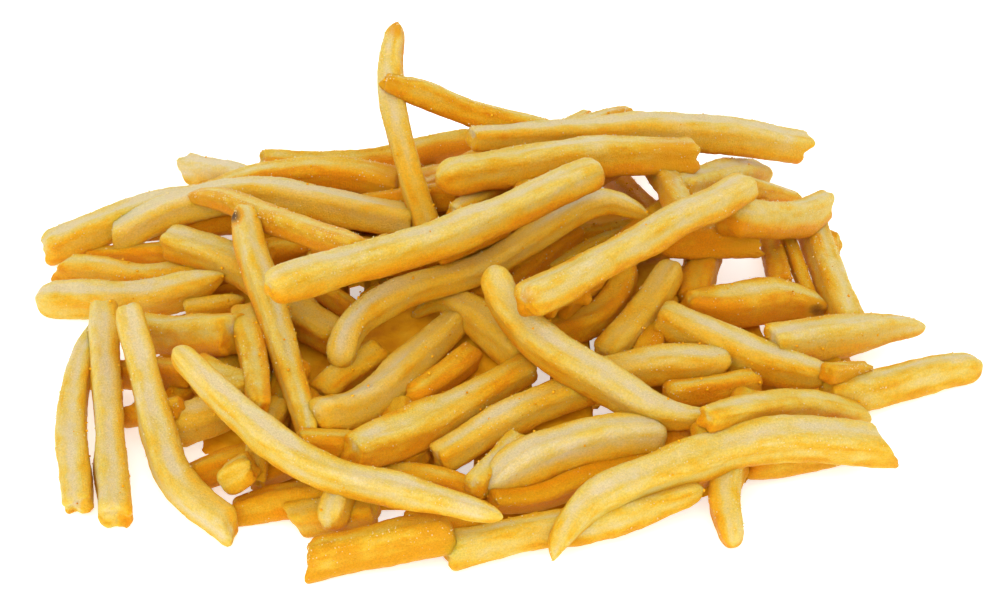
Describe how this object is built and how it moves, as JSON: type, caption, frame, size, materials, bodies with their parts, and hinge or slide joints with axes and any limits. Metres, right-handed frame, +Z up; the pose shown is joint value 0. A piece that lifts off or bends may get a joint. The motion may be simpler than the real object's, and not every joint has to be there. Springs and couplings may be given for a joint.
{
  "type": "french fries portion",
  "caption": "Loose low heap of thin-cut french fries lying on a flat surface, with one fry standing up out of the back.",
  "frame": {"origin": "middle of the heap's footprint, on the surface that it lies on", "axes": "+Z up, +X to the right along the heap's longer way, -Y towards the front"},
  "size_m": [0.1947, 0.1481, 0.0475],
  "materials": {
    "fried_potato": "golden fried potato, slightly oily"
  },
  "bodies": {
    "root": {"fries": "fried_potato"}
  },
  "joints": []
}
